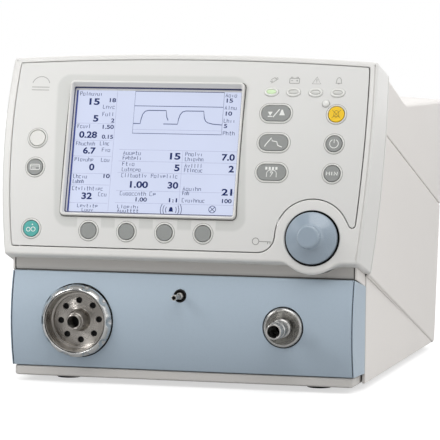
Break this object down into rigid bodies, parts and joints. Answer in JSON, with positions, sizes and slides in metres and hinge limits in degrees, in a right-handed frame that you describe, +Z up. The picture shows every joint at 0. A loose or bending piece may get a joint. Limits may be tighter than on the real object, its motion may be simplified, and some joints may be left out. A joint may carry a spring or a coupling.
{
  "type": "mechanical ventilator",
  "caption": "Desktop infant ventilator with a tilted screen and keypad head, a push-and-turn knob, a blue gas panel with a dished valve and outlet tube, and a sloping housing behind.",
  "frame": {"origin": "centre of the bounding box on the surface that the feet stand on", "axes": "+Z up, -Y out of the screen side towards the user, +X to the right as the user faces the screen"},
  "size_m": [0.3738, 0.5106, 0.3236],
  "materials": {
    "housing_plastic": "moulded, fine texture",
    "head_plastic": "moulded, satin",
    "keypad_foil": "printed membrane foil",
    "trim_grey": "satin paint",
    "panel_blue": "fine-textured powder coat",
    "knob_blue": "satin",
    "key_grey": "soft-touch",
    "key_pale": "soft-touch",
    "key_yellow": "soft-touch",
    "key_teal": "soft-touch",
    "lamp_clear": "frosted lens",
    "lamp_green": "lit lens",
    "screen_panel": "backlit liquid-crystal panel",
    "window_clear": "anti-glare cover",
    "polished_steel": "turned and polished",
    "sheet_steel": "zinc-plated sheet and turned parts",
    "plated_brass": "nickel-plated",
    "black_plastic": "moulded",
    "foot_rubber": "moulded rubber",
    "circuit_board": "solder-masked board",
    "battery_wrap": "shrink-wrapped"
  },
  "bodies": {
    "machine": {"base_tray": "trim_grey", "foot_front_left": "foot_rubber", "foot_front_right": "foot_rubber", "foot_rear_left": "foot_rubber", "foot_rear_right": "foot_rubber", "gas_panel": "panel_blue", "neck_strip": "head_plastic", "left_base_shell": "housing_plastic", "right_base_shell": "housing_plastic", "left_side_shell": "housing_plastic", "right_side_shell": "housing_plastic", "top_cover": "housing_plastic", "rear_panel": "sheet_steel", "head_frame": "head_plastic", "keypad_panel": "keypad_foil", "screen_bezel": "head_plastic", "display_window": "window_clear", "display_module": "screen_panel", "encoder_body": "sheet_steel", "lamp_mains": "lamp_green", "lamp_battery": "lamp_clear", "lamp_warning": "lamp_clear", "lamp_alarm": "lamp_clear", "lamp_silence": "lamp_clear", "keypad_board": "circuit_board", "valve_dish": "polished_steel", "valve_seat": "black_plastic", "valve_body": "sheet_steel", "port_socket": "black_plastic", "pressure_port": "polished_steel", "outlet_flange": "polished_steel", "outlet_tube": "polished_steel", "outlet_seal": "black_plastic", "gas_block": "sheet_steel", "oxygen_sensor": "black_plastic", "main_board": "circuit_board", "power_supply": "sheet_steel", "battery_pack": "battery_wrap", "fan_frame": "black_plastic", "mains_inlet": "black_plastic", "air_inlet": "plated_brass", "oxygen_inlet": "plated_brass"},
    "soft_key_1": {"soft_key_1": "key_grey"},
    "soft_key_2": {"soft_key_2": "key_grey"},
    "soft_key_3": {"soft_key_3": "key_grey"},
    "soft_key_4": {"soft_key_4": "key_grey"},
    "left_key_1": {"left_key_1": "key_pale"},
    "left_key_2": {"left_key_2": "key_grey"},
    "left_key_3": {"left_key_3": "key_teal"},
    "limits_key": {"limits_key": "key_grey"},
    "curve_key": {"curve_key": "key_grey"},
    "mode_key": {"mode_key": "key_grey"},
    "silence_key": {"silence_key": "key_yellow"},
    "power_key": {"power_key": "key_grey"},
    "manual_key": {"manual_key": "key_grey"},
    "encoder_shaft": {"encoder_shaft": "sheet_steel"},
    "control_knob": {"control_knob": "knob_blue"},
    "valve_ring": {"valve_ring": "polished_steel"},
    "power_switch": {"power_switch": "black_plastic"},
    "fan_rotor": {"fan_rotor": "black_plastic"}
  },
  "joints": [
    {"name": "soft_key_1_press", "type": "slide", "parent": "machine", "child": "soft_key_1", "axis": [0, 0.99, -0.1413], "range_m": [0, 0.001], "stiffness_N_per_m": 800},
    {"name": "soft_key_2_press", "type": "slide", "parent": "machine", "child": "soft_key_2", "axis": [0, 0.99, -0.1413], "range_m": [0, 0.001], "stiffness_N_per_m": 800},
    {"name": "soft_key_3_press", "type": "slide", "parent": "machine", "child": "soft_key_3", "axis": [0, 0.99, -0.1413], "range_m": [0, 0.001], "stiffness_N_per_m": 800},
    {"name": "soft_key_4_press", "type": "slide", "parent": "machine", "child": "soft_key_4", "axis": [0, 0.99, -0.1413], "range_m": [0, 0.001], "stiffness_N_per_m": 800},
    {"name": "left_key_1_press", "type": "slide", "parent": "machine", "child": "left_key_1", "axis": [0, 0.959, -0.2835], "range_m": [0, 0.001], "stiffness_N_per_m": 800},
    {"name": "left_key_2_press", "type": "slide", "parent": "machine", "child": "left_key_2", "axis": [0, 0.9713, -0.2378], "range_m": [0, 0.001], "stiffness_N_per_m": 800},
    {"name": "left_key_3_press", "type": "slide", "parent": "machine", "child": "left_key_3", "axis": [0, 0.9898, -0.1421], "range_m": [0, 0.001], "stiffness_N_per_m": 800},
    {"name": "limits_key_press", "type": "slide", "parent": "machine", "child": "limits_key", "axis": [0, 0.9445, -0.3287], "range_m": [0, 0.001], "stiffness_N_per_m": 800},
    {"name": "curve_key_press", "type": "slide", "parent": "machine", "child": "curve_key", "axis": [0, 0.959, -0.2835], "range_m": [0, 0.001], "stiffness_N_per_m": 800},
    {"name": "mode_key_press", "type": "slide", "parent": "machine", "child": "mode_key", "axis": [0, 0.9713, -0.2378], "range_m": [0, 0.001], "stiffness_N_per_m": 800},
    {"name": "silence_key_press", "type": "slide", "parent": "machine", "child": "silence_key", "axis": [0, 0.9445, -0.3287], "range_m": [0, 0.001], "stiffness_N_per_m": 800},
    {"name": "power_key_press", "type": "slide", "parent": "machine", "child": "power_key", "axis": [0, 0.959, -0.2835], "range_m": [0, 0.001], "stiffness_N_per_m": 800},
    {"name": "manual_key_press", "type": "slide", "parent": "machine", "child": "manual_key", "axis": [0, 0.9713, -0.2378], "range_m": [0, 0.001], "stiffness_N_per_m": 800},
    {"name": "encoder_press", "type": "slide", "parent": "machine", "child": "encoder_shaft", "axis": [0, 0.9903, -0.1393], "range_m": [0, 0.0015], "stiffness_N_per_m": 1500},
    {"name": "knob_turn", "type": "hinge", "parent": "encoder_shaft", "child": "control_knob", "pos_m": [0.131, -0.21707, 0.15006], "axis": [0, -0.9903, 0.1393], "continuous": true},
    {"name": "valve_ring_turn", "type": "hinge", "parent": "machine", "child": "valve_ring", "pos_m": [-0.1032, -0.20525, 0.0625], "axis": [0, -1, 0], "range_deg": [0, 60]},
    {"name": "power_switch_rock", "type": "hinge", "parent": "machine", "child": "power_switch", "pos_m": [0.123, 0.22725, 0.102], "axis": [-1, 0, 0], "range_deg": [0, 12]},
    {"name": "fan_spin", "type": "hinge", "parent": "machine", "child": "fan_rotor", "pos_m": [-0.095, 0.22325, 0.171], "axis": [0, 1, 0], "continuous": true}
  ]
}
